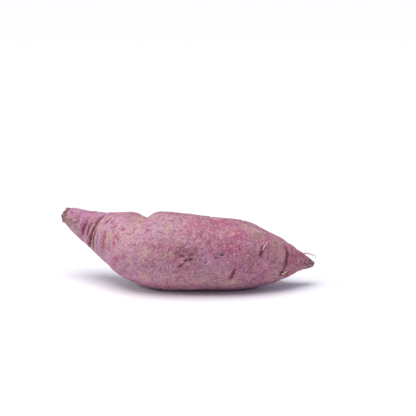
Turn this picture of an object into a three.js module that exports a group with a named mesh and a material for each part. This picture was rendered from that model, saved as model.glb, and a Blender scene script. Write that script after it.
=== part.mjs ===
// A purple sweet potato: one storage root, lying on its belly.
//
// Millimetres, +Z up. +X runs from the crown, the end that grew on the vine, to the tail, and -Y is
// the side that the root bulges towards. The crown end bends back and up like a neck, the belly is
// round and heavy, and the tail tapers to a short, dry point. The origin is on the ground under the
// middle of the root's box.
import * as THREE from "three";

// Driving dimensions.
const LENGTH = 175; // crown to tail, along X
const GIRTH = 27; // radius of the thickest part of the belly

// How finely the skin is divided.
const RINGS_PER_SPAN = 4; // rings between one station and the next
const SEGMENTS = 48; // points round each ring

// The belly sits flat: skin that would reach below the ground is pressed up to it.
const PRESS_BLEND = 0.4; // height over which the pressed face rounds into the belly

// The root's centre line and thickness, from crown to tail. "at" is a share of LENGTH along X.
// The rest are in shares of GIRTH: "back" away from the bulging side, "up" above the ground before
// the belly is pressed, and the half-thickness across ("wide") and upright ("tall").
const STATIONS = [
  { at: 0.008, back: 1.31, up: 1.57, wide: 0.15, tall: 0.18 }, // crown, where it broke from the vine
  { at: 0.04, back: 1.22, up: 1.51, wide: 0.25, tall: 0.26 },
  { at: 0.09, back: 1.06, up: 1.39, wide: 0.37, tall: 0.38 },
  { at: 0.14, back: 0.89, up: 1.29, wide: 0.48, tall: 0.48 }, // neck
  { at: 0.19, back: 0.7, up: 1.2, wide: 0.61, tall: 0.61 },
  { at: 0.245, back: 0.48, up: 1.1, wide: 0.79, tall: 0.79 }, // shoulder
  { at: 0.3, back: 0.3, up: 1.02, wide: 0.91, tall: 0.9 },
  { at: 0.355, back: 0.15, up: 0.97, wide: 0.97, tall: 0.94 },
  { at: 0.42, back: 0.05, up: 0.94, wide: 1.0, tall: 0.97 }, // belly
  { at: 0.5, back: 0.0, up: 0.92, wide: 1.0, tall: 0.965 },
  { at: 0.59, back: 0.0, up: 0.895, wide: 0.97, tall: 0.935 },
  { at: 0.685, back: 0.0, up: 0.88, wide: 0.91, tall: 0.91 },
  { at: 0.755, back: 0.04, up: 0.82, wide: 0.81, tall: 0.82 },
  { at: 0.815, back: 0.08, up: 0.745, wide: 0.66, tall: 0.67 },
  { at: 0.87, back: 0.15, up: 0.69, wide: 0.49, tall: 0.5 }, // where the tail is pinched
  { at: 0.915, back: 0.22, up: 0.66, wide: 0.35, tall: 0.34 },
  { at: 0.955, back: 0.3, up: 0.58, wide: 0.19, tall: 0.185 },
  { at: 0.99, back: 0.37, up: 0.5, wide: 0.08, tall: 0.08 }, // tail, a dry point
];

// Low swellings and hollows of the flesh. "at" is a share of the way along the stations, "around"
// is degrees round the root (0 faces -Y, 90 is on top, 180 at the back), "rise" is a share of
// GIRTH, and "long" and "broad" are how far it spreads, in the units of "at" and "around".
const SWELLINGS = [
  { at: 0.37, around: 100, rise: -0.15, long: 0.03, broad: 40 }, // dip behind the shoulder
  { at: 0.43, around: 75, rise: 0.04, long: 0.05, broad: 60 },
  { at: 0.52, around: 205, rise: 0.06, long: 0.09, broad: 40 },
  { at: 0.64, around: 150, rise: -0.05, long: 0.05, broad: 45 },
  { at: 0.34, around: 190, rise: -0.05, long: 0.05, broad: 50 },
  { at: 0.71, around: 215, rise: 0.04, long: 0.06, broad: 45 },
  { at: 0.6, around: 20, rise: 0.02, long: 0.08, broad: 35 },
];

const UP = new THREE.Vector3(0, 0, 1);

// Two curves run through the stations in step: the centre line, and the half-thicknesses.
const centreLine = new THREE.CatmullRomCurve3(
  STATIONS.map((s) => new THREE.Vector3(s.at * LENGTH, s.back * GIRTH, s.up * GIRTH)),
);
const thickness = new THREE.CatmullRomCurve3(
  STATIONS.map((s) => new THREE.Vector3(s.wide * GIRTH, s.tall * GIRTH, 0)),
);

// The angle between two directions round the root, from -180 to 180 degrees.
function turnBetween(a, b) {
  return THREE.MathUtils.euclideanModulo(a - b + 180, 360) - 180;
}

// How far the flesh stands out from the plain round form at one place.
function swelling(at, around) {
  let rise = 0;
  for (const s of SWELLINGS) {
    const along = (at - s.at) / s.long;
    const across = turnBetween(around, s.around) / s.broad;
    rise += s.rise * GIRTH * Math.exp(-0.5 * (along * along + across * across));
  }
  return rise;
}

// Height after the belly is pressed: 0 below the ground, unchanged above it, and a short round
// blend between the two.
function pressed(z) {
  if (z <= -PRESS_BLEND) return 0;
  if (z >= PRESS_BLEND) return z;
  return (z + PRESS_BLEND) ** 2 / (4 * PRESS_BLEND);
}

// A point of the skin: "at" from 0 at the crown to 1 at the tail, "around" in degrees.
function skinPoint(at, around) {
  const centre = centreLine.getPoint(at);
  const half = thickness.getPoint(at);
  const along = centreLine.getTangent(at);
  const upright = UP.clone().addScaledVector(along, -UP.dot(along)).normalize();
  const across = along.clone().cross(upright);
  const angle = THREE.MathUtils.degToRad(around);
  const rise = swelling(at, around);
  return centre
    .addScaledVector(across, Math.cos(angle) * (half.x + rise))
    .addScaledVector(upright, Math.sin(angle) * (half.y + rise));
}

// The closed skin: rings of points from crown to tail, and one point in the middle of each end.
function rootGeometry() {
  const rings = (STATIONS.length - 1) * RINGS_PER_SPAN + 1;
  const positions = [];
  const push = (p) => positions.push(p.x, p.y, pressed(p.z));
  for (let i = 0; i < rings; i++)
    for (let j = 0; j < SEGMENTS; j++) push(skinPoint(i / (rings - 1), (360 * j) / SEGMENTS));
  const crown = positions.length / 3;
  push(centreLine.getPoint(0));
  push(centreLine.getPoint(1));
  const tail = crown + 1;

  const faces = [];
  const vertex = (i, j) => i * SEGMENTS + (j % SEGMENTS);
  for (let j = 0; j < SEGMENTS; j++) {
    faces.push(crown, vertex(0, j), vertex(0, j + 1));
    faces.push(tail, vertex(rings - 1, j + 1), vertex(rings - 1, j));
    for (let i = 0; i < rings - 1; i++) {
      faces.push(vertex(i, j), vertex(i + 1, j), vertex(i + 1, j + 1));
      faces.push(vertex(i, j), vertex(i + 1, j + 1), vertex(i, j + 1));
    }
  }
  const geometry = new THREE.BufferGeometry();
  geometry.setAttribute("position", new THREE.Float32BufferAttribute(positions, 3));
  geometry.setIndex(faces);

  // Stand it over the origin.
  geometry.computeBoundingBox();
  const middle = geometry.boundingBox.getCenter(new THREE.Vector3());
  geometry.translate(-middle.x, -middle.y, 0);
  geometry.computeVertexNormals();
  return geometry;
}

const skin = new THREE.MeshStandardMaterial({ color: 0xaf7d91, roughness: 0.6, metalness: 0 });
const root = new THREE.Mesh(rootGeometry(), skin);
root.name = "sweet_potato";

const part = new THREE.Group();
part.add(root);

export default part;
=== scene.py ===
# A purple sweet potato, lying on its belly on a pale floor.
#
# The skin is rebuilt finely over the frame's root, and its folds, scars, cracks and rootlets are
# worked into the mesh. Places on it are given as (along, around): along runs from 0 at the crown to
# 1 at the tip of the tail, and around is in degrees, 0 facing -Y, 90 on top, 180 at the back and
# 270 underneath. Sizes are in millimetres until the mesh is written, in metres.
import math

import bpy
import numpy as np
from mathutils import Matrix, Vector, noise
from mathutils.bvhtree import BVHTree


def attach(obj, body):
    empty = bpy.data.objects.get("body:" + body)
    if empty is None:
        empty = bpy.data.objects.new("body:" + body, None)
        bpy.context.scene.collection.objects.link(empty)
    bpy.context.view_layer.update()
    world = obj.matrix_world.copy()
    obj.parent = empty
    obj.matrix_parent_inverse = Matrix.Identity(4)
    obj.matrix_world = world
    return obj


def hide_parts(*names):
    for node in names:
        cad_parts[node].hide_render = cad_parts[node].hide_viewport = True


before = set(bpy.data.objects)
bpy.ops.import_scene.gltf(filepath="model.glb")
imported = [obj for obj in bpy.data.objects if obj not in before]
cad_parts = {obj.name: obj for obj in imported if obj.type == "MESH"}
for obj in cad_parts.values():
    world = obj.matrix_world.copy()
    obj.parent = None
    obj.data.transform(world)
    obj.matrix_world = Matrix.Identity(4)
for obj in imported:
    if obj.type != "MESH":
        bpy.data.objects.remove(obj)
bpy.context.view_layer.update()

MM = 0.001

# How finely the skin is divided.
ROWS = 400  # rings from crown to tail
COLUMNS = 224  # points round each ring
END_ROWS = 10  # rings across the broken face of the crown, and across the tip of the tail
# Where the rings crowd together: the crowd's middle and spread as shares of the root's length, and
# how much denser it is.
CROWDS = [(0.12, 0.11, 0.9), (0.95, 0.1, 1.1)]
CROWD_STEPS = 4000  # how finely that is summed along the root

# How the root is measured from the frame.
SLICES = 60  # slices between the ends, each of which gives one point of the centre line
SLICE = 2.2  # half-width of a slice
NECK_SKIP = 7.0  # how much of each end is left out, where the slices would be cut short
TAIL_SKIP = 3.5
BEND_TERMS = 7  # degree of the curve through those points
LINE_STEPS = 2000  # how finely its length is summed
RAY_GAP = 3.75  # degrees between the rays that measure a ring
LOBES = 12  # finest waviness kept round a ring
EVENING = 1.6  # how far along the root the frame's facets are evened out

PRESS_BLEND = 0.4  # height over which the belly rounds into its pressed, flat patch

# The broken face of the crown and the tip of the tail, which close the skin.
CROWN_DOME = 1.7  # how far the middle of the broken face stands out
CROWN_WEAR = 0.2  # share of its radius that is worn away underneath, at the broken face
CROWN_WEAR_REACH = 0.022  # how far along the root that wear reaches
TAIL_WEAR = 0.35  # the same, all round, at the tip of the tail
TAIL_WEAR_REACH = 0.016
TAIL_KNOB = 1.3  # how far the tip stands out past the last ring

# Tints: how much of each colour a mark lays on the skin, from 0 to 1.
TINTS = ("fold", "russet", "tan", "blush", "dark", "pale", "lilac", "dry", "fibre")

# Marks that follow a line: folds, cracks, slits, ridges and streaks. "run" holds the (along,
# around) places that the line passes, "wide" and "deep" its half-width and depth (a ridge has a
# negative depth), and "lip" the height of the skin raised beside it. The rest are tints.
LINES = [
    # The neck's folds.
    dict(run=[(0.117, 80), (0.122, 40), (0.122, 5), (0.117, -45)], wide=1.1, deep=0.7, lip=0.2, fold=1.2),
    dict(run=[(0.142, 72), (0.147, 34), (0.145, -12)], wide=0.8, deep=0.4, lip=0.2, fold=1.0),
    dict(run=[(0.162, 95), (0.169, 58), (0.170, 20)], wide=1.3, deep=1.2, lip=0.3, fold=1.5),
    dict(run=[(0.170, 35), (0.171, 0), (0.166, -30), (0.160, -60)], wide=1.4, deep=1.0, lip=0.3, fold=1.6),
    dict(run=[(0.178, 64), (0.184, 34), (0.191, -10), (0.195, -55)], wide=0.8, deep=0.6, lip=0.2, fold=1.2),
    dict(run=[(0.194, 60), (0.204, 20), (0.212, -20), (0.220, -55)], wide=0.7, deep=0.4, russet=1.0),
    dict(run=[(0.212, 50), (0.224, 16), (0.238, -25)], wide=0.7, deep=0.35, lip=0.2, russet=0.9),
    dict(run=[(0.098, 60), (0.103, 25), (0.101, -20)], wide=0.7, deep=0.3, lip=0.1, fold=0.6),
    dict(run=[(0.129, 60), (0.133, 20), (0.131, -30)], wide=0.6, deep=0.3, lip=0.1, fold=0.7),
    # The colours in the folds and between them.
    dict(run=[(0.164, 62), (0.167, 20), (0.164, -45)], wide=2.3, russet=1.3, blush=0.6),
    dict(run=[(0.118, 66), (0.121, 32), (0.120, 0)], wide=2.1, russet=1.1, blush=1.2),
    dict(run=[(0.143, 64), (0.147, 40), (0.147, 12)], wide=1.4, russet=1.0, blush=0.8),
    dict(run=[(0.157, 70), (0.160, 40), (0.158, 5)], wide=1.5, blush=1.5),
    dict(run=[(0.112, 62), (0.113, 35), (0.112, 10)], wide=1.6, blush=1.4),
    dict(run=[(0.134, 78), (0.135, 52), (0.134, 25)], wide=1.8, russet=1.0, tan=0.7),
    dict(run=[(0.178, 85), (0.178, 40), (0.180, 0), (0.177, -55)], wide=1.2, tan=1.5),
    dict(run=[(0.187, 85), (0.192, 50), (0.199, 5), (0.204, -40)], wide=1.2, tan=0.9, pale=0.8),
    dict(run=[(0.199, 85), (0.205, 50), (0.213, 5), (0.222, -45)], wide=1.5, lilac=1.6, pale=0.9),
    dict(run=[(0.148, 20), (0.148, -15), (0.146, -50)], wide=1.6, lilac=1.4, pale=0.6),
    dict(run=[(0.104, 10), (0.107, -20), (0.107, -50)], wide=1.6, lilac=1.2, pale=0.6),
    dict(run=[(0.231, 46), (0.234, 25), (0.238, -5)], wide=1.7, russet=1.6, blush=1.2),
    dict(run=[(0.240, 20), (0.243, 5), (0.247, -12)], wide=1.1, russet=1.5, fold=0.5),
    dict(run=[(0.222, 60), (0.227, 35), (0.231, 5)], wide=1.1, tan=1.4),
    dict(run=[(0.246, 42), (0.248, 30), (0.250, 16)], wide=1.5, tan=1.6),
    dict(run=[(0.250, 12), (0.254, -5), (0.262, -30)], wide=1.3, tan=1.0, russet=0.4),
    dict(run=[(0.264, 8), (0.268, -20), (0.274, -45)], wide=2.2, lilac=1.2, pale=0.7),
    # The rim of the crown's broken face.
    dict(run=[(0.010, 140), (0.012, 95), (0.008, 55)], wide=0.9, deep=-0.3, dark=0.9),
    dict(run=[(0.006, 70), (0.002, 25), (0.002, -20), (0.006, -60)], wide=0.8, deep=-0.3, dark=0.6),
    dict(run=[(0.008, 160), (0.006, 210), (0.008, 260)], wide=0.8, deep=-0.2, dark=0.8),
    # The valley behind the shoulder, with painted shade in tan, and the swell that rises from it.
    # Painted shade: tan laid along the valley, where it lies in shade.
    dict(run=[(0.345, 140), (0.352, 98), (0.342, 74), (0.322, 52)], wide=5.5, deep=0.3, tan=0.9),
    dict(run=[(0.352, 125), (0.357, 100), (0.366, 76), (0.346, 58)], wide=2.4, deep=0.15, fold=0.4),
    dict(run=[(0.398, 120), (0.397, 97), (0.390, 76), (0.376, 62)], wide=3.6, deep=-0.8, pale=0.6),
    # An eye on the shoulder.
    dict(run=[(0.209, 58), (0.214, 68), (0.215, 80)], wide=0.9, deep=0.8, lip=0.3, fold=1.6),
    # Cracks in the belly.
    dict(run=[(0.494, -7), (0.502, -7), (0.512, -3)], wide=0.7, deep=0.6, lip=0.3, dark=1.05),
    dict(run=[(0.508, -6), (0.517, -3), (0.524, -3)], wide=0.6, deep=0.6, lip=0.3, dark=0.95),
    dict(run=[(0.511, 1), (0.521, 1), (0.531, 3)], wide=0.6, deep=0.6, lip=0.3, dark=0.95),
    dict(run=[(0.526, 4), (0.538, 3), (0.550, 7)], wide=0.7, deep=0.7, lip=0.3, dark=1.05),
    dict(run=[(0.536, 0), (0.544, 1), (0.553, 1)], wide=0.5, deep=0.4, lip=0.2, dark=0.65),
    dict(run=[(0.530, 9), (0.542, 10), (0.556, 12)], wide=0.7, deep=0.5, lip=0.2, fold=1.4),
    dict(run=[(0.500, 6), (0.511, 8), (0.522, 7)], wide=0.7, deep=0.4, lip=0.2, fold=1.2),
    dict(run=[(0.516, 15), (0.526, 15), (0.537, 17)], wide=0.6, deep=0.3, lip=0.2, fold=0.9),
    dict(run=[(0.484, 10), (0.492, 12), (0.500, 12)], wide=0.6, deep=0.3, lip=0.2, fold=0.8),
    dict(run=[(0.548, 17), (0.558, 18), (0.568, 17)], wide=0.6, deep=0.3, lip=0.2, fold=0.8),
    dict(run=[(0.619, 8), (0.627, 7), (0.634, 8)], wide=0.7, deep=0.5, lip=0.3, dark=1.2),
    dict(run=[(0.625, 12), (0.633, 12), (0.641, 11)], wide=0.6, deep=0.4, lip=0.2, dark=0.9),
    dict(run=[(0.640, 10), (0.647, 12), (0.654, 12)], wide=0.8, deep=0.5, lip=0.3, dark=1.2),
    dict(run=[(0.530, 36), (0.546, 36), (0.563, 37)], wide=0.6, deep=0.1, pale=1.5),
    # Root scars towards the tail.
    dict(run=[(0.776, 12), (0.781, 21), (0.786, 33)], wide=1.15, deep=1.3, lip=0.3, fold=1.7),
    dict(run=[(0.677, -33), (0.687, -19), (0.698, -4)], wide=1.1, deep=0.7, lip=0.3, russet=1.2, fold=1.2),
    # The fold where the tail is pinched.
    dict(run=[(0.874, 66), (0.877, 36), (0.875, 5), (0.868, -24)], wide=1.3, deep=0.8, lip=0.3, fold=1.2),
    dict(run=[(0.877, 26), (0.875, 4), (0.868, -26)], wide=1.4, deep=0.5, fold=1.5, russet=1.2),
    dict(run=[(0.870, 74), (0.872, 40), (0.871, 5)], wide=2.0, blush=1.1, russet=0.8),
    dict(run=[(0.856, -44), (0.850, -56), (0.846, -70)], wide=0.9, deep=0.4, lip=0.2, russet=1.3),
    dict(run=[(0.859, -42), (0.861, -32), (0.866, -21)], wide=1.0, deep=1.1, lip=0.3, fold=1.7),
    dict(run=[(0.884, -52), (0.888, -44), (0.892, -36)], wide=0.9, deep=0.9, lip=0.3, fold=1.6),
    dict(run=[(0.935, 125), (0.930, 103), (0.914, 58)], wide=2.6, deep=2.1),
    # The far side: the folds run on round the neck and the tail.
    dict(run=[(0.115, 105), (0.111, 150), (0.119, 205)], wide=0.9, deep=0.6, lip=0.2, fold=0.8),
    dict(run=[(0.170, 115), (0.166, 160), (0.174, 235)], wide=1.0, deep=0.8, lip=0.3, fold=1.0, russet=0.5),
    dict(run=[(0.196, 130), (0.202, 170), (0.196, 215)], wide=0.6, deep=0.4, lip=0.2, fold=0.5),
    dict(run=[(0.178, 120), (0.180, 165), (0.182, 220)], wide=1.1, tan=1.2),
    dict(run=[(0.148, 140), (0.145, 190), (0.148, 240)], wide=1.4, lilac=1.2, pale=0.6),
    dict(run=[(0.878, 125), (0.883, 170), (0.874, 225)], wide=1.0, deep=0.6, lip=0.2, fold=0.9),
]

# Round marks: place, half-length along the root, half-width round it, depth where they are hollow
# (negative where they swell), and their tints.
SPOTS = [
    # Zones of the skin, and one painted shadow along the top.
    dict(at=(0.085, 75), long=16.0, broad=11.0, blush=0.45, lilac=1.4),
    # Painted shadow: a strip of tan and russet along the top of the body, standing in for the shade of the
    # cut pieces that rest on it.
    dict(at=(0.470, 97), long=22.0, broad=6.0, tan=0.5, russet=0.4),
    dict(at=(0.016, 5), long=4.0, broad=6.0, dry=0.65),
    dict(at=(0.058, 28), long=8.0, broad=7.0, dry=0.6, pale=0.9),
    dict(at=(0.085, -10), long=7.0, broad=6.0, dry=0.45, pale=1.0),
    dict(at=(0.045, 200), long=7.0, broad=8.0, dry=0.36),
    dict(at=(0.150, -20), long=16.0, broad=10.0, lilac=0.8),
    dict(at=(0.225, 60), long=8.0, broad=14.0, lilac=0.7),
    dict(at=(0.250, -20), long=5.0, broad=14.0, lilac=0.8),
    dict(at=(0.395, 45), long=12.0, broad=9.0, lilac=0.5),
    dict(at=(0.350, -30), long=14.0, broad=8.0, lilac=0.5),
    dict(at=(0.640, 0), long=5.0, broad=5.0, lilac=0.6),
    dict(at=(0.760, 62), long=12.0, broad=7.0, tan=0.6),
    dict(at=(0.840, 45), long=8.0, broad=9.0, tan=0.6),
    dict(at=(0.590, -25), long=9.0, broad=8.0, tan=0.5),
    dict(at=(0.470, 30), long=8.0, broad=9.0, tan=0.4),
    dict(at=(0.395, 80), long=10.0, broad=5.0, tan=0.5, russet=0.3),
    dict(at=(0.560, 62), long=9.0, broad=7.0, blush=0.6),
    dict(at=(0.600, 30), long=12.0, broad=8.0, russet=0.45),
    dict(at=(0.850, -40), long=9.0, broad=6.0, tan=0.6),
    dict(at=(0.745, 5), long=6.0, broad=10.0, russet=0.6, tan=0.3),
    dict(at=(0.297, 40), long=26.0, broad=22.0, pale=0.75),
    dict(at=(0.435, 60), long=22.0, broad=14.0, pale=0.6),
    dict(at=(0.415, -30), long=26.0, broad=12.0, pale=0.4),
    dict(at=(0.119, 110), long=14.0, broad=12.0, pale=0.35, blush=0.3),
    dict(at=(0.519, 9), long=14.0, broad=8.0, russet=0.55),
    dict(at=(0.638, 72), long=8.0, broad=5.0, blush=1.05),
    dict(at=(0.702, 46), long=10.0, broad=7.0, blush=0.85),
    dict(at=(0.689, 24), long=8.0, broad=5.0, blush=1.1),
    dict(at=(0.692, -15), long=14.0, broad=12.0, blush=0.4),
    dict(at=(0.811, -20), long=11.0, broad=10.0, blush=0.55),
    dict(at=(0.915, 20), long=11.0, broad=11.0, blush=1.1, russet=0.8),
    dict(at=(0.109, 70), long=9.0, broad=6.0, blush=0.5),
    dict(at=(0.851, 15), long=4.0, broad=9.0, tan=0.45),
    # Tan scabs.
    dict(at=(0.259, 34), long=1.9, broad=3.0, tan=1.4),
    dict(at=(0.329, 35), long=1.5, broad=1.8, tan=1.1),
    dict(at=(0.347, 36), long=1.6, broad=1.7, tan=1.1),
    dict(at=(0.391, 11), long=2.6, broad=3.4, tan=1.3),
    dict(at=(0.338, -19), long=1.6, broad=1.4, tan=0.5),
    dict(at=(0.469, 10), long=2.8, broad=1.8, tan=1.1),
    dict(at=(0.388, -31), long=3.0, broad=2.0, deep=0.25, tan=1.5),
    dict(at=(0.664, 51), long=1.0, broad=1.6, tan=0.7),
    dict(at=(0.703, 34), long=0.9, broad=1.8, tan=0.8),
    dict(at=(0.687, -35), long=3.4, broad=2.4, tan=1.5),
    dict(at=(0.227, 74), long=1.6, broad=2.4, tan=1.4),
    dict(at=(0.925, -2), long=0.9, broad=0.9, deep=0.2, tan=0.8),
    # Hollows and swellings.
    dict(at=(0.030, 100), long=7.0, broad=6.0, deep=-0.6),
    dict(at=(0.610, -68), long=16.0, broad=7.0, deep=0.9),
    dict(at=(0.245, -70), long=6.0, broad=9.0, deep=1.1),
    dict(at=(0.320, -74), long=16.0, broad=9.0, deep=0.65),
    dict(at=(0.798, 100), long=8.0, broad=9.0, deep=1.3),
    dict(at=(0.985, -60), long=2.5, broad=3.0, deep=-0.9),
    dict(at=(0.968, 60), long=1.6, broad=2.0, deep=-0.7),
    dict(at=(0.955, -10), long=1.4, broad=1.6, deep=0.5, dark=0.8),
    dict(at=(0.974, 20), long=1.2, broad=1.2, deep=0.5, dark=0.9),
    dict(at=(0.980, -12), long=0.9, broad=1.1, deep=0.5, dark=0.8),
    dict(at=(0.962, 38), long=1.1, broad=0.9, deep=0.4, dark=0.8),
    dict(at=(0.986, 42), long=0.9, broad=1.2, deep=-0.5, tan=0.9),
    dict(at=(0.970, -30), long=1.0, broad=1.2, deep=0.4, dark=0.9),
    # Pits.
    dict(at=(0.034, 70), long=0.9, broad=0.7, deep=0.3, dark=0.8),
    dict(at=(0.040, 28), long=1.0, broad=0.8, deep=0.3, dark=0.8),
    dict(at=(0.062, 60), long=0.8, broad=0.8, deep=0.3, dark=0.7),
    dict(at=(0.066, 24), long=1.0, broad=0.9, deep=0.3, dark=0.9),
    dict(at=(0.074, 2), long=0.9, broad=0.8, deep=0.3, dark=0.8),
    dict(at=(0.082, 40), long=0.8, broad=0.7, deep=0.2, dark=0.7),
    dict(at=(0.090, -22), long=0.8, broad=0.8, deep=0.2, dark=0.7),
    dict(at=(0.052, 45), long=0.8, broad=0.8, deep=0.3, dark=0.8),
    dict(at=(0.054, 14), long=0.8, broad=0.9, deep=0.3, dark=0.7),
    dict(at=(0.371, -39), long=0.7, broad=0.7, deep=0.4, dark=0.8),
    dict(at=(0.482, 13), long=0.8, broad=0.6, deep=0.4, dark=0.7),
    dict(at=(0.365, 16), long=0.7, broad=0.6, deep=0.3, dark=0.5),
    dict(at=(0.439, -39), long=1.0, broad=0.7, deep=0.3, dark=0.5),
    dict(at=(0.725, 8), long=0.9, broad=0.9, deep=0.3, dark=0.5),
    dict(at=(0.766, -13), long=0.9, broad=0.6, deep=0.2, dark=0.4),
    # Flushed and reddish-brown flecks.
    dict(at=(0.238, 26), long=1.8, broad=2.8, russet=1.2, blush=0.9),
    dict(at=(0.247, 12), long=1.4, broad=2.6, russet=1.0),
    dict(at=(0.292, 32), long=1.9, broad=1.9, blush=1.5),
    dict(at=(0.435, 20), long=2.5, broad=2.5, blush=0.7),
    dict(at=(0.262, 54), long=1.8, broad=2.2, blush=1.2),
    dict(at=(0.276, 45), long=1.6, broad=2.0, tan=1.3),
    dict(at=(0.284, 20), long=1.7, broad=2.4, blush=1.1),
    dict(at=(0.301, 50), long=2.0, broad=1.7, blush=1.0),
    dict(at=(0.313, 24), long=2.0, broad=2.2, tan=1.2),
    dict(at=(0.268, 6), long=1.5, broad=2.2, russet=1.0),
    dict(at=(0.240, 66), long=1.6, broad=2.2, blush=1.1),
    dict(at=(0.252, 76), long=1.5, broad=2.0, lilac=1.3),
    dict(at=(0.325, 60), long=2.2, broad=2.2, lilac=1.2),
    dict(at=(0.345, 10), long=2.4, broad=2.4, lilac=1.2),
    dict(at=(0.300, -8), long=2.2, broad=2.8, blush=0.9),
    dict(at=(0.360, 48), long=2.6, broad=1.8, tan=1.1),
    dict(at=(0.455, 46), long=2.6, broad=2.2, tan=1.1),
    dict(at=(0.610, 52), long=2.4, broad=2.2, blush=1.1),
    dict(at=(0.730, 34), long=3.0, broad=2.6, lilac=1.2),
    dict(at=(0.800, -6), long=3.2, broad=3.0, lilac=1.3),
    dict(at=(0.760, -34), long=4.0, broad=2.6, blush=1.0),
    # The knobbly scar under the fold of the tail.
    dict(at=(0.873, -35), long=3.0, broad=3.0, deep=-0.9, russet=1.2, tan=0.5),
]

# Marks that are scattered over the skin.
SCATTER_SEED = 11
SCAR_ROWS = (108, 160, 205, 250, 292)  # degrees round the root of each row of root scars
SCAR_REACH = (4, 9)  # degrees that a scar runs to either side of its middle
SCAR_DEPTH = (0.4, 0.9)
PITS = 130
PIT_SIZE = (0.4, 0.8)
SCABS = 60
SCAB_SIZE = (0.8, 2.4)
FLECKS = 46
FLECK_SIZE = (1.0, 3.5)
ZONES = 14
ZONE_SIZE = (8.0, 18.0)
CRACKS = 34  # short strokes in the rough patch round the belly's cracks
CRACK_HALF = (0.003, 0.008)  # half-length of a stroke, as a share of the root's length
PATCH_ALONG = (0.525, 0.026)  # the rough patch's middle and spread, along the root
PATCH_AROUND = (12, 9)  # and round it

# How a mark lies in the skin.
LINE_SAMPLES = 48  # points along the line of a mark
LINE_REACH = 5  # how many half-widths away a line still has any effect
LINE_TAPER = 0.6  # how quickly a line fades towards its ends: the lower, the more suddenly
LINE_END = 0.02  # share of its length at either end over which it fades no further
LIP_GAP = 2.1  # how many half-widths from the line its raised lip stands
SPOT_REACH = 2.2  # the same for a spot, in its half-length or half-width, whichever is more

# The unevenness of the skin.
SEED_SHIFT = Vector((17.3, 5.1, 9.7))  # how far apart the noise of different seeds is read
RAGGED = 0.4  # how far the edges of the marks wander
RAGGED_SIZE = 2.4  # how long their waves are
RAGGED_SEEDS = (1, 2, 3)
RING_WIDTH = 1.5  # how wide the fine rings are at the neck and the tail
RING_CURL = 0.9  # how much they change on their way round
RING_HEIGHT = 0.4
RING_SEED = 4
NECK_FOLDS = (0.17, 0.055)  # middle and spread of the ringed part of the neck, along the root
TAIL_FOLDS = (0.9, 0.05)  # and of the tail
TAIL_FOLDING = 0.6  # how strong the tail's rings are beside the neck's
CROWN_CRUST = 0.018  # how far along the root the dry crust of the broken face reaches
TAIL_CRUST = 0.036  # and that of the tip
END_HEIGHT = 0.8  # how rough the broken face and the tip are
END_SIZE = 2.4
END_SEED = 8
LUMPS = [(15.0, 0.5, 5), (4.5, 0.2, 6), (1.6, 0.09, 7)]  # size, height and seed of each kind

# Rootlets: the (along, around) places that each passes over and how far it stands off the skin
# there, and how thick it is at its foot.
ROOTLETS = [
    dict(run=[(0.783, 25, 0.0), (0.790, 33, 1.6), (0.799, 42, 1.9)], thick=1.0),
    dict(run=[(0.865, -33, 0.0), (0.872, -29, 1.4), (0.881, -24, 1.8)], thick=1.0),
    dict(run=[(0.955, 92, 0.0), (0.972, 100, 2.4), (0.999, 98, 4.4), (0.999, 60, 3.2)], thick=1.2),
    dict(run=[(0.862, -66, 0.0), (0.892, -76, 2.6), (0.933, -84, 9.2)], thick=0.7),
]
ROOTLET_TAPER = 0.6  # how much thinner a rootlet is at its tip
ROOTLET_RINGS = 20


def cad_root():
    """The frame's root in millimetres: its points, and a tree to cast rays at."""
    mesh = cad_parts["sweet_potato"].data
    points = [v.co / MM for v in mesh.vertices]
    tree = BVHTree.FromPolygons(points, [tuple(p.vertices) for p in mesh.polygons])
    return np.array(points), tree


def unit(v):
    return v / np.linalg.norm(v, axis=-1, keepdims=True)


def bell(value, middle, spread):
    """1 at the middle, and falling away to nothing over about twice the spread."""
    return np.exp(-(((value - middle) / spread) ** 2))


class CentreLine:
    """The smooth line through the middle of the root, measured by length from the crown."""

    def __init__(self, points, tree):
        x = points[:, 0]
        stops = np.linspace(x.min() + NECK_SKIP, x.max() - TAIL_SKIP, SLICES)
        slices = [points[abs(x - stop) < SLICE] for stop in stops]
        middles = np.array([(s.min(axis=0) + s.max(axis=0)) / 2 for s in slices])
        self.known = (stops[0], stops[-1])
        self.bend = [np.polyfit(stops, middles[:, axis], BEND_TERMS) for axis in (1, 2)]
        ends = [self.end(tree, stops[2], -1), self.end(tree, stops[-3], 1)]
        self.x = np.linspace(ends[0], ends[1], LINE_STEPS)
        steps = np.linalg.norm(np.diff(self.at_x(self.x), axis=0), axis=1)
        self.run = np.concatenate([[0], np.cumsum(steps)])
        self.length = self.run[-1]

    def at_x(self, x):
        """The line's point at X, which runs on straight past the last slices."""
        inner = np.clip(x, *self.known)
        sides = [
            np.polyval(bend, inner) + (x - inner) * np.polyval(np.polyder(bend), inner)
            for bend in self.bend
        ]
        return np.stack([x, *sides], axis=-1)

    def end(self, tree, x, way):
        """The X at which the line leaves the root, going out from x."""
        start = self.at_x(x)
        heading = unit(self.at_x(x + way) - start)
        hit = tree.ray_cast(Vector(start), Vector(heading))[0]
        return hit.x

    def frame_at(self, along):
        """The line's point, heading, front and up directions at each share of its length."""
        x = np.interp(np.asarray(along) * self.length, self.run, self.x)
        point = self.at_x(x)
        heading = unit(self.at_x(x + 0.5) - self.at_x(x - 0.5))
        front = unit(np.cross(heading, np.broadcast_to([0.0, 0.0, 1.0], heading.shape)))
        up = np.cross(front, heading)
        return point, heading, front, up


def row_places():
    """The share of the root's length at each ring, closer together at the neck and the tail."""
    t = np.linspace(0, 1, CROWD_STEPS)
    density = np.ones(CROWD_STEPS)
    for middle, spread, more in CROWDS:
        density += more * bell(t, middle, spread)
    share = np.cumsum(density)
    share = (share - share[0]) / (share[-1] - share[0])
    return np.interp(np.linspace(0, 1, ROWS), share, t)


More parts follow.
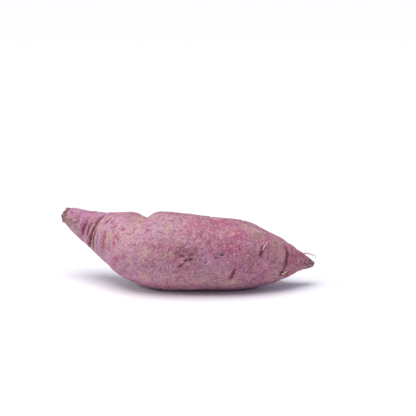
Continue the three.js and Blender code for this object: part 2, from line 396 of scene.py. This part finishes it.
def evened(radii, places):
    """Radii with the frame's facets smoothed out along the root."""
    gap = (places[:, None] - places[None, :]) * LINE.length
    weight = bell(gap, 0, EVENING)
    return (weight @ radii) / weight.sum(axis=1, keepdims=True)


def measured_radii(tree, places, angles):
    """How far the skin is from the centre line, at each ring and angle."""
    probes = np.radians(np.arange(0, 360, RAY_GAP))
    point, _, front, up = LINE.frame_at(places)
    radii = np.zeros((len(places), len(probes)))
    for i in range(len(places)):
        start = Vector(point[i])
        for j, angle in enumerate(probes):
            ray = Vector(math.cos(angle) * front[i] + math.sin(angle) * up[i])
            radii[i, j] = tree.ray_cast(start, ray)[3]
    # Only the broadest waves round a ring are kept. Each but the first stands for a mirrored pair.
    waves = np.fft.rfft(evened(radii, places), axis=1)[:, : LOBES + 1] / len(probes)
    waves[:, 1:] *= 2
    turns = np.exp(1j * np.outer(np.arange(LOBES + 1), angles))
    return (waves @ turns).real


def surface(places, radii, angles):
    """The skin's points from its radii, with both ends worn in."""
    point, _, front, up = LINE.frame_at(places)
    underneath = (1 - np.sin(angles)) / 2
    crown_worn = CROWN_WEAR * bell(places, 0, CROWN_WEAR_REACH)
    tail_worn = TAIL_WEAR * bell(places, 1, TAIL_WEAR_REACH)
    radii = radii * (1 - crown_worn[:, None] * underneath - tail_worn[:, None])
    ray = (
        np.cos(angles)[None, :, None] * front[:, None, :]
        + np.sin(angles)[None, :, None] * up[:, None, :]
    )
    return point[:, None, :] + radii[:, :, None] * ray


POINTS, TREE = cad_root()
LINE = CentreLine(POINTS, TREE)
PLACES = row_places()
ANGLES = np.linspace(0, 2 * math.pi, COLUMNS, endpoint=False)
RADII = measured_radii(TREE, PLACES, ANGLES)
SKIN = surface(PLACES, RADII, ANGLES)


def smooth_run(run, samples):
    """A smooth line through a few given places, as that many of them."""
    knots = np.linspace(0, 1, len(run))
    degree = min(len(run) - 1, 3)
    curve = np.polyfit(knots, np.array(run, float), degree)
    t = np.linspace(0, 1, samples)[:, None]
    return sum(curve[k][None, :] * t ** (degree - k) for k in range(degree + 1))


def skin_at(places):
    """The points of the smooth skin at (along, around) places."""
    places = np.atleast_2d(places)
    row = np.interp(places[:, 0], PLACES, np.arange(ROWS))
    column = (places[:, 1] % 360) / 360 * COLUMNS
    i = np.clip(row.astype(int), 0, ROWS - 2)
    j = column.astype(int) % COLUMNS
    a = (row - i)[:, None]
    b = (column - column.astype(int))[:, None]
    k = (j + 1) % COLUMNS
    low = SKIN[i, j] * (1 - b) + SKIN[i, k] * b
    high = SKIN[i + 1, j] * (1 - b) + SKIN[i + 1, k] * b
    return low * (1 - a) + high * a


def closed_rows(skin):
    """All rings of the root: the broken face of the crown, the skin, and the tip of the tail."""
    _, heading, _, _ = LINE.frame_at([0.0, 1.0])
    shares = (np.arange(END_ROWS) + 0.5) / END_ROWS
    crown = skin[0].mean(axis=0)
    tail = skin[-1].mean(axis=0)
    face = [crown + (skin[0] - crown) * s - heading[0] * CROWN_DOME * (1 - s * s) for s in shares]
    knob = [tail + (skin[-1] - tail) * s + heading[1] * TAIL_KNOB * (1 - s * s) for s in shares]
    return np.concatenate([np.array(face), skin, np.array(knob[::-1])])


def outward(rows):
    """The outward normals of a grid of rings."""
    around = np.roll(rows, -1, axis=1) - np.roll(rows, 1, axis=1)
    along = np.gradient(rows, axis=0)
    return unit(np.cross(along, around))


def field(points, size, seed, octaves=1):
    """Smooth noise between about -1 and 1, with lumps about that size across."""
    shift = SEED_SHIFT * seed
    scaled = points / size
    return np.array([noise.fractal(Vector(p) + shift, 1.0, 2.0, octaves) for p in scaled])


def scattered_marks():
    """Small marks: scars in rows, pits, scabs, flecks, the belly's rough patch, and broad zones."""
    draw = np.random.default_rng(SCATTER_SEED)
    lines = []
    spots = []
    for row in SCAR_ROWS:
        for along in np.arange(0.3, 0.86, 0.11) + draw.uniform(-0.03, 0.03, 6):
            around = row + draw.uniform(-9, 9)
            reach = draw.uniform(*SCAR_REACH)
            lean = draw.uniform(-0.006, 0.012)
            deep = draw.uniform(*SCAR_DEPTH)
            run = [(along - lean, around - reach), (along, around), (along + lean, around + reach)]
            lines.append(dict(run=run, wide=0.5 + deep / 2, deep=deep, lip=deep / 3, fold=1.0))
            scab = (along + 0.008, around - reach / 2)
            spots.append(dict(at=scab, long=2.4, broad=1.6, tan=draw.uniform(0.4, 1.0)))
    for _ in range(PITS):
        at = (draw.uniform(0.03, 0.96), draw.uniform(0, 360))
        size = draw.uniform(*PIT_SIZE)
        spots.append(dict(at=at, long=size, broad=size, deep=0.5 * size, dark=draw.uniform(0.2, 0.8)))
    for _ in range(SCABS):
        at = (draw.uniform(0.08, 0.92), draw.uniform(0, 360))
        long, broad = draw.uniform(*SCAB_SIZE, 2)
        spots.append(dict(at=at, long=long, broad=broad, deep=-0.1, tan=draw.uniform(0.3, 0.8)))
    for _ in range(FLECKS):
        at = (draw.uniform(0.1, 0.94), draw.uniform(0, 360))
        long, broad = draw.uniform(*FLECK_SIZE, 2)
        spots.append(dict(at=at, long=long, broad=broad, **{draw.choice(["blush", "russet"]): 0.7}))
    for _ in range(CRACKS):
        along = draw.normal(*PATCH_ALONG)
        around = draw.normal(*PATCH_AROUND)
        half = draw.uniform(*CRACK_HALF)
        run = [(along - half, around - 1), (along, around), (along + half, around + 1.5)]
        lines.append(dict(run=run, wide=0.5, deep=0.3, lip=0.15, fold=draw.uniform(0.4, 1.1)))
    for _ in range(ZONES):
        at = (draw.uniform(0.2, 0.9), draw.uniform(100, 310))
        long, broad = draw.uniform(*ZONE_SIZE, 2)
        tint = draw.choice(["blush", "pale", "russet", "lilac"])
        spots.append(dict(at=at, long=long, broad=broad, **{tint: 0.55}))
    return lines, spots


class Marks:
    """Where the skin is raised and how it is tinted, point by point."""

    def __init__(self, points):
        self.points = points
        self.height = np.zeros(len(points))
        self.tints = {name: np.zeros(len(points)) for name in TINTS}

    def near(self, line, reach):
        """The points within reach of a line, how far they are, and at which share of it."""
        low = line.min(axis=0) - reach
        high = line.max(axis=0) + reach
        inside = np.all((self.points > low) & (self.points < high), axis=1)
        index = np.flatnonzero(inside)
        gaps = np.linalg.norm(self.points[index][:, None, :] - line[None, :, :], axis=2)
        return index, gaps.min(axis=1), gaps.argmin(axis=1) / max(len(line) - 1, 1)

    def tint(self, name, index, amount):
        """Lay on a tint where it is stronger than what is there."""
        held = self.tints[name]
        held[index] = np.maximum(held[index], amount)

    def line(self, run, wide, deep=0.0, lip=0.0, **tints):
        """Work in a mark that follows a line, as described at LINES."""
        line = skin_at(smooth_run(run, LINE_SAMPLES))
        index, gap, share = self.near(line, wide * LINE_REACH)
        taper = np.sin(np.clip(share, LINE_END, 1 - LINE_END) * math.pi) ** LINE_TAPER
        middle = bell(gap, 0, wide)
        self.height[index] -= deep * taper * middle
        self.height[index] += lip * taper * bell(gap, LIP_GAP * wide, wide)
        for name, amount in tints.items():
            self.tint(name, index, amount * taper * middle)

    def spot(self, at, long, broad, deep=0.0, **tints):
        """Work in a round mark, as described at SPOTS."""
        centre = skin_at(at)[0]
        index, _, _ = self.near(centre[None, :], max(long, broad) * SPOT_REACH)
        _, heading, _, _ = LINE.frame_at([at[0]])
        offset = self.points[index] - centre
        lengthways = offset @ heading[0]
        across = np.sqrt(np.maximum((offset**2).sum(axis=1) - lengthways**2, 0))
        spread = np.exp(-((lengthways / long) ** 2 + (across / broad) ** 2))
        self.height[index] -= deep * spread
        for name, amount in tints.items():
            self.tint(name, index, amount * spread)


def worked_skin(rows):
    """The rings with the root's lumps, folds and marks, and the tints of every point."""
    flat = rows.reshape(-1, 3)
    along = np.repeat(np.concatenate([np.zeros(END_ROWS), PLACES, np.ones(END_ROWS)]), COLUMNS)
    around = np.tile(ANGLES, len(rows))
    ragged = np.stack([field(flat, RAGGED_SIZE, seed, 3) for seed in RAGGED_SEEDS], axis=1)
    marks = Marks(flat + RAGGED * ragged)
    more_lines, more_spots = scattered_marks()
    for line in LINES + more_lines:
        marks.line(**line)
    for spot in SPOTS + more_spots:
        marks.spot(**spot)
    ends = bell(along, 0, CROWN_CRUST) + bell(along, 1, TAIL_CRUST)
    folded = bell(along, *NECK_FOLDS) + TAIL_FOLDING * bell(along, *TAIL_FOLDS)
    rings = [along * LINE.length / RING_WIDTH, RING_CURL * np.cos(around), RING_CURL * np.sin(around)]
    marks.height += RING_HEIGHT * folded * field(np.stack(rings, axis=1), 1.0, RING_SEED, 2)
    marks.height += END_HEIGHT * ends * field(flat, END_SIZE, END_SEED, 3)
    for size, height, seed in LUMPS:
        marks.height += height * field(flat, size, seed, 2)
    marks.tint("dry", slice(None), np.clip(ends * 1.1 - 0.1, 0, 1))
    marks.tints["folded"] = folded
    marks.tints["along"] = along
    raised = flat + outward(rows).reshape(-1, 3) * marks.height[:, None]
    raised[:, 2] = pressed(raised[:, 2])
    return raised.reshape(rows.shape), marks.tints


def pressed(z):
    """Heights with the belly pressed flat on the ground."""
    eased = (z + PRESS_BLEND) ** 2 / (4 * PRESS_BLEND)
    return np.where(z <= -PRESS_BLEND, 0.0, np.where(z >= PRESS_BLEND, z, eased))


def vertex(row, column):
    """The mesh's index for a point of the rings; 0 is the pole of the crown."""
    return 1 + row * COLUMNS + column % COLUMNS


def grid_faces(count):
    """The faces between that many rings, and the fans that close both ends."""
    quads = [
        (vertex(i, j), vertex(i + 1, j), vertex(i + 1, j + 1), vertex(i, j + 1))
        for i in range(count - 1)
        for j in range(COLUMNS)
    ]
    last = count - 1
    tail = 1 + count * COLUMNS
    crown_fan = [(0, vertex(0, j), vertex(0, j + 1)) for j in range(COLUMNS)]
    tail_fan = [(tail, vertex(last, j + 1), vertex(last, j)) for j in range(COLUMNS)]
    return quads + crown_fan + tail_fan


class Growth:
    """The mesh being put together: the skin, and the rootlets that grow out of it."""

    def __init__(self, rows, tints):
        flat = rows.reshape(-1, 3)
        self.points = [rows[0].mean(axis=0), *flat, rows[-1].mean(axis=0)]
        self.faces = grid_faces(len(rows))
        self.tints = {name: [held[0], *held, held[-1]] for name, held in tints.items()}
        self.normals = outward(rows)

    def rootlet(self, run, thick):
        """A tapering rootlet, grown out of the four faces round one point of the skin."""
        i = END_ROWS + int(round(np.interp(run[0][0], PLACES, np.arange(ROWS))))
        j = int(round((run[0][1] % 360) / 360 * COLUMNS)) % COLUMNS
        tip = vertex(i, j)
        steps = [(-1, -1), (-1, 0), (-1, 1), (0, 1), (1, 1), (1, 0), (1, -1), (0, -1)]
        ring = [vertex(i + a, j + b) for a, b in steps]
        neighbours = [(n, (n + 1) % len(ring)) for n in range(len(ring))]
        self.faces = [face for face in self.faces if tip not in face]
        line = self.line_off_skin(smooth_run(run, ROOTLET_RINGS))
        near_foot = (1 - np.linspace(0, 1, len(line))[:, None]) ** 3
        line = line + (self.points[tip] - line[0]) * near_foot
        side = unit(self.points[ring[3]] - self.points[ring[7]])
        spokes = np.array([self.points[v] - self.points[tip] for v in ring])
        turn = np.arctan2(spokes @ np.cross(self.normals[i, j], side), spokes @ side)
        count = len(line)
        for k in range(1, count):
            heading = unit(line[min(k + 1, count - 1)] - line[k - 1])
            across = unit(side - heading * (side @ heading))
            other = np.cross(heading, across)
            radius = thick * (1 - ROOTLET_TAPER * k / (count - 1)) / 2
            fresh = []
            for angle in turn:
                self.points.append(line[k] + radius * (math.cos(angle) * across + math.sin(angle) * other))
                fresh.append(len(self.points) - 1)
                for name, held in self.tints.items():
                    held.append(1.0 if name == "fibre" else 0.0)
            self.faces += [(ring[n], fresh[n], fresh[m], ring[m]) for n, m in neighbours]
            ring = fresh
            side = across
        self.points[tip] = line[-1] + heading * radius
        self.tints["fibre"][tip] = 1.0
        self.faces += [(ring[m], ring[n], tip) for n, m in neighbours]

    def line_off_skin(self, places):
        """The points at (along, around, how far off the skin) places."""
        base = skin_at(places[:, :2])
        point, _, _, _ = LINE.frame_at(np.clip(places[:, 0], 0, 1))
        return base + unit(base - point) * places[:, 2:]


def skin_piece():
    """The root's one mesh, with the tints as attributes for its material."""
    rows, tints = worked_skin(closed_rows(SKIN))
    growth = Growth(rows, tints)
    for rootlet in ROOTLETS:
        growth.rootlet(**rootlet)
    mesh = bpy.data.meshes.new("sweet_potato_root")
    mesh.from_pydata([tuple(p * MM) for p in growth.points], [], growth.faces)
    for name, held in growth.tints.items():
        layer = mesh.attributes.new(name, "FLOAT", "POINT")
        layer.data.foreach_set("value", np.clip(np.array(held, np.float32), 0, 1))
    mesh.validate()
    mesh.shade_smooth()
    root = bpy.data.objects.new("sweet_potato_root", mesh)
    bpy.context.scene.collection.objects.link(root)
    return root


# The skin's colours, as 8-bit display values.
COLOURS = {
    "rose": (178, 110, 130),
    "mauve": (160, 116, 132),
    "pale": (208, 166, 178),
    "tan": (188, 154, 138),
    "pink": (196, 108, 148),
    "drab": (150, 116, 118),
    "magenta": (170, 66, 112),
    "lilac": (190, 142, 190),
    "russet": (144, 70, 80),
    "maroon": (110, 44, 58),
    "purple_black": (66, 32, 50),
    "fibre": (226, 186, 168),
    "straw": (180, 142, 124),
    "bark": (90, 54, 50),
    "plum": (118, 62, 86),
    "bloom": (224, 184, 192),
    "straw_pink": (196, 154, 150),
}

# The noises that the skin is mottled with; "size" is how many millimetres across their lumps are.
# Those that are ringed run in streaks round the root.
NOISES = {
    "ground": dict(size=24.0, detail=3.0),
    "flush": dict(size=11.0, detail=4.0, roughness=0.6, warp=0.4),
    "dullness": dict(size=9.1, detail=5.0, roughness=0.65, warp=0.6),
    "cool": dict(size=7.3, detail=5.0, roughness=0.65, warp=0.5),
    "mottle": dict(size=2.4, detail=5.0, roughness=0.68),
    "scurf": dict(size=6.0, detail=6.0, roughness=0.7, warp=0.8),
    "blush": dict(size=4.6, detail=5.0, roughness=0.7, warp=0.5),
    "streaks": dict(size=8.0, detail=4.0, roughness=0.6, ringed=True),
    "bands": dict(size=11.0, detail=3.0, roughness=0.5, warp=0.3, ringed=True),
    "blotch": dict(size=4.2, detail=5.0, roughness=0.7, warp=0.6),
    "dark_specks": dict(size=1.7, detail=3.0, roughness=0.7),
    "light_specks": dict(size=1.4, detail=3.0, roughness=0.7),
    "grain": dict(size=0.9, detail=3.0, roughness=0.7),
    "crust": dict(size=2.0, detail=5.0, roughness=0.75),
}
STREAK_SQUEEZE = 6.0  # how much longer than wide the ringed streaks are

# The layers of colour on the skin, from the bottom up. Each follows a noise or one of the tints: it
# starts to show where that has the value "start", and shows at its "most" from "full" on. Those
# in_folds keep to the ringed parts of the neck and the tail.
LAYERS = [
    dict(colour="pink", noise="flush", start=0.51, full=0.68, most=0.65),
    dict(colour="drab", noise="dullness", start=0.52, full=0.68, most=0.6),
    dict(colour="lilac", noise="cool", start=0.53, full=0.68, most=0.5),
    dict(colour="pale", tint="pale", start=0.1, full=1.1),
    dict(colour="lilac", tint="lilac", start=0.1, full=1.1, most=0.8),
    dict(colour="tan", noise="scurf", start=0.5, full=0.66, most=0.8),
    dict(colour="magenta", noise="blush", start=0.52, full=0.68, most=0.7),
    dict(colour="magenta", tint="blush", start=0.08, full=0.85, most=0.75),
    dict(colour="tan", tint="tan", start=0.15, full=0.8, most=0.85),
    dict(colour="russet", tint="russet", start=0.1, full=1.0, most=0.75),
    dict(colour="tan", noise="streaks", start=0.5, full=0.62, most=0.8, in_folds=True),
    dict(colour="russet", noise="streaks", start=0.47, full=0.36, most=0.75, in_folds=True),
    dict(colour="lilac", noise="bands", start=0.52, full=0.64, most=0.7, in_folds=True),
    dict(colour="plum", noise="blotch", start=0.47, full=0.36, most=0.6),
    dict(colour="straw_pink", noise="blotch", start=0.53, full=0.66, most=0.7),
    dict(colour="plum", noise="dark_specks", start=0.45, full=0.32, most=0.7),
    dict(colour="bloom", noise="light_specks", start=0.55, full=0.68, most=0.65),
    dict(colour="plum", noise="grain", start=0.48, full=0.34, most=0.6),
    dict(colour="bloom", noise="grain", start=0.54, full=0.68, most=0.35),
    dict(colour="crust", tint="dry", start=0.2, full=0.7),
    dict(colour="maroon", tint="fold", start=0.2, full=0.9, most=0.92),
    dict(colour="purple_black", tint="dark", start=0.3, full=0.8, most=0.92),
]
GROUND_SPAN = (0.42, 0.6)  # noise values over which the ground turns from rose to mauve
CRUST_SPAN = (0.4, 0.59)  # and the dry crust from bark to straw
RAGGED_SPAN = (0.28, 0.72, 0.45, 1.55)  # two values of mottle, and what each multiplies a tint by
FOLDED_SPAN = (0.1, 0.8)  # strength of the folds over which the layers kept to them come in
SKIN_ROUGHNESS = (0.3, 0.7, 0.5, 0.68)  # two values of mottle, and the roughness at each
SKIN_SHINE = 0.35
PORES = (0.35, 0.8)  # depth in millimetres and strength of the finest relief
WRINKLES = (0.6, 0.5)  # and of the relief under it


def linear(display):
    """A linear colour from 8-bit display values."""
    shares = [value / 255 for value in display]
    return (*(s / 12.92 if s <= 0.04045 else ((s + 0.055) / 1.055) ** 2.4 for s in shares), 1.0)


class Nodes:
    """Short calls for building a material's nodes."""

    def __init__(self, name):
        self.material = bpy.data.materials.new(name)
        self.material.use_nodes = True
        self.tree = self.material.node_tree
        self.shader = self.tree.nodes["Principled BSDF"]
        self.place = self.tree.nodes.new("ShaderNodeTexCoord").outputs["Object"]

    def link(self, value, socket):
        if isinstance(value, bpy.types.NodeSocket):
            self.tree.links.new(value, socket)
        else:
            socket.default_value = value

    def noise(self, size, detail, roughness=0.55, warp=0.0, ringed=False):
        """Noise from 0 to 1 with lumps about that many millimetres across."""
        node = self.tree.nodes.new("ShaderNodeTexNoise")
        self.tree.links.new(self.ringed() if ringed else self.place, node.inputs["Vector"])
        node.inputs["Scale"].default_value = 1 / (size * MM)
        node.inputs["Detail"].default_value = detail
        node.inputs["Roughness"].default_value = roughness
        node.inputs["Distortion"].default_value = warp
        return node.outputs["Fac"]

    def attribute(self, name):
        node = self.tree.nodes.new("ShaderNodeAttribute")
        node.attribute_name = name
        return node.outputs["Fac"]

    def span(self, value, low, high, to_low=0.0, to_high=1.0):
        """Value stretched from low..high to to_low..to_high, and held there."""
        node = self.tree.nodes.new("ShaderNodeMapRange")
        self.link(value, node.inputs["Value"])
        node.inputs["From Min"].default_value = low
        node.inputs["From Max"].default_value = high
        node.inputs["To Min"].default_value = to_low
        node.inputs["To Max"].default_value = to_high
        return node.outputs["Result"]

    def ringed(self):
        """Places squeezed along the root, so that noise read at them runs in streaks round it."""
        split = self.tree.nodes.new("ShaderNodeSeparateXYZ")
        self.tree.links.new(self.place, split.inputs["Vector"])
        join = self.tree.nodes.new("ShaderNodeCombineXYZ")
        squeezed = LINE.length * MM * STREAK_SQUEEZE
        self.link(self.math("MULTIPLY", self.attribute("along"), squeezed), join.inputs["X"])
        self.link(split.outputs["Y"], join.inputs["Y"])
        self.link(split.outputs["Z"], join.inputs["Z"])
        return join.outputs["Vector"]

    def math(self, operation, a, b):
        node = self.tree.nodes.new("ShaderNodeMath")
        node.operation = operation
        self.link(a, node.inputs[0])
        self.link(b, node.inputs[1])
        return node.outputs["Value"]

    def mix(self, factor, a, b):
        node = self.tree.nodes.new("ShaderNodeMix")
        node.data_type = "RGBA"
        self.link(factor, node.inputs["Factor"])
        self.link(a, node.inputs["A"])
        self.link(b, node.inputs["B"])
        return node.outputs["Result"]

    def bump(self, height, depth, strength, under=None):
        node = self.tree.nodes.new("ShaderNodeBump")
        node.inputs["Strength"].default_value = strength
        node.inputs["Distance"].default_value = depth * MM
        self.link(height, node.inputs["Height"])
        if under is not None:
            self.link(under, node.inputs["Normal"])
        return node.outputs["Normal"]


def skin_material():
    n = Nodes("root_skin")
    noises = {name: n.noise(**settings) for name, settings in NOISES.items()}
    colours = {name: linear(display) for name, display in COLOURS.items()}
    colours["crust"] = n.mix(n.span(noises["crust"], *CRUST_SPAN), colours["bark"], colours["straw"])
    ragged = n.span(noises["mottle"], *RAGGED_SPAN)
    folded = n.span(n.attribute("folded"), *FOLDED_SPAN)

    def shows(start, full, most=1.0, noise=None, tint=None, in_folds=False):
        """How much of a layer shows; a tint has ragged edges and is mottled inside."""
        guide = n.math("MULTIPLY", ragged, n.attribute(tint)) if tint else noises[noise]
        shown = n.span(guide, start, full, 0.0, most)
        return n.math("MULTIPLY", folded, shown) if in_folds else shown

    body = n.mix(n.span(noises["ground"], *GROUND_SPAN), colours["rose"], colours["mauve"])
    for layer in LAYERS:
        guides = {key: value for key, value in layer.items() if key != "colour"}
        body = n.mix(shows(**guides), body, colours[layer["colour"]])
    body = n.mix(n.attribute("fibre"), body, colours["fibre"])

    n.link(body, n.shader.inputs["Base Color"])
    n.link(n.span(noises["mottle"], *SKIN_ROUGHNESS), n.shader.inputs["Roughness"])
    n.shader.inputs["Specular IOR Level"].default_value = SKIN_SHINE
    pores = n.bump(noises["grain"], *PORES)
    n.link(n.bump(noises["mottle"], *WRINKLES, pores), n.shader.inputs["Normal"])
    return n.material


# The floor, the lights and the camera.
CAMERA_AIM = Vector((14.5, 7.2, 52.8)) * MM  # the point in the middle of the view
CAMERA_ELEVATION = math.radians(13)
CAMERA_DISTANCE = 1.1
CAMERA_LENS = 139.4
CAMERA_NEAR = 0.01
CAMERA_FAR = 100
FLOOR_HALF = 12.0
FLOOR_COLOUR = (0.94, 0.94, 0.96, 1)
FLOOR_ROUGHNESS = 0.35
FLOOR_SHINE = 0.25
SKY = 0.45
SKY_COLOUR = (0.76, 0.8, 1.0, 1)
# The lights: name, strength, spread and tilt; a tilt of (0, -90) degrees shines from the left.
LIGHTS = [
    ("key", 2.65, 50, (5, -10)),
    ("side", 0.65, 16, (12, -58)),
]
LIGHT_COLOUR = (1.0, 0.975, 0.94)


def floor():
    mesh = bpy.data.meshes.new("floor")
    h = FLOOR_HALF
    mesh.from_pydata([(-h, -h, 0), (h, -h, 0), (h, h, 0), (-h, h, 0)], [], [(0, 1, 2, 3)])
    plane = bpy.data.objects.new("floor", mesh)
    bpy.context.scene.collection.objects.link(plane)
    n = Nodes("floor_white")
    n.shader.inputs["Base Color"].default_value = FLOOR_COLOUR
    n.shader.inputs["Roughness"].default_value = FLOOR_ROUGHNESS
    n.shader.inputs["Specular IOR Level"].default_value = FLOOR_SHINE
    mesh.materials.append(n.material)


def lights():
    world = bpy.data.worlds.new("sky")
    bpy.context.scene.world = world
    world.use_nodes = True
    sky = world.node_tree.nodes["Background"]
    sky.inputs["Color"].default_value = SKY_COLOUR
    sky.inputs["Strength"].default_value = SKY
    for name, strength, spread, (tilt_x, tilt_y) in LIGHTS:
        sun = bpy.data.lights.new(name, "SUN")
        sun.energy = strength
        sun.color = LIGHT_COLOUR
        sun.angle = math.radians(spread)
        light = bpy.data.objects.new(name, sun)
        light.rotation_euler = (math.radians(tilt_x), math.radians(tilt_y), 0)
        bpy.context.scene.collection.objects.link(light)


def camera():
    lens = bpy.data.cameras.new("camera")
    lens.lens = CAMERA_LENS
    lens.clip_start = CAMERA_NEAR
    lens.clip_end = CAMERA_FAR
    eye = bpy.data.objects.new("camera", lens)
    back = Vector((0, -math.cos(CAMERA_ELEVATION), math.sin(CAMERA_ELEVATION)))
    eye.location = CAMERA_AIM + back * CAMERA_DISTANCE
    eye.rotation_euler = (math.pi / 2 - CAMERA_ELEVATION, 0, 0)
    bpy.context.scene.collection.objects.link(eye)
    bpy.context.scene.camera = eye


bpy.context.scene.view_settings.view_transform = "Standard"
root = skin_piece()
root.data.materials.append(skin_material())
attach(root, "root")
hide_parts("sweet_potato")
floor()
lights()
camera()
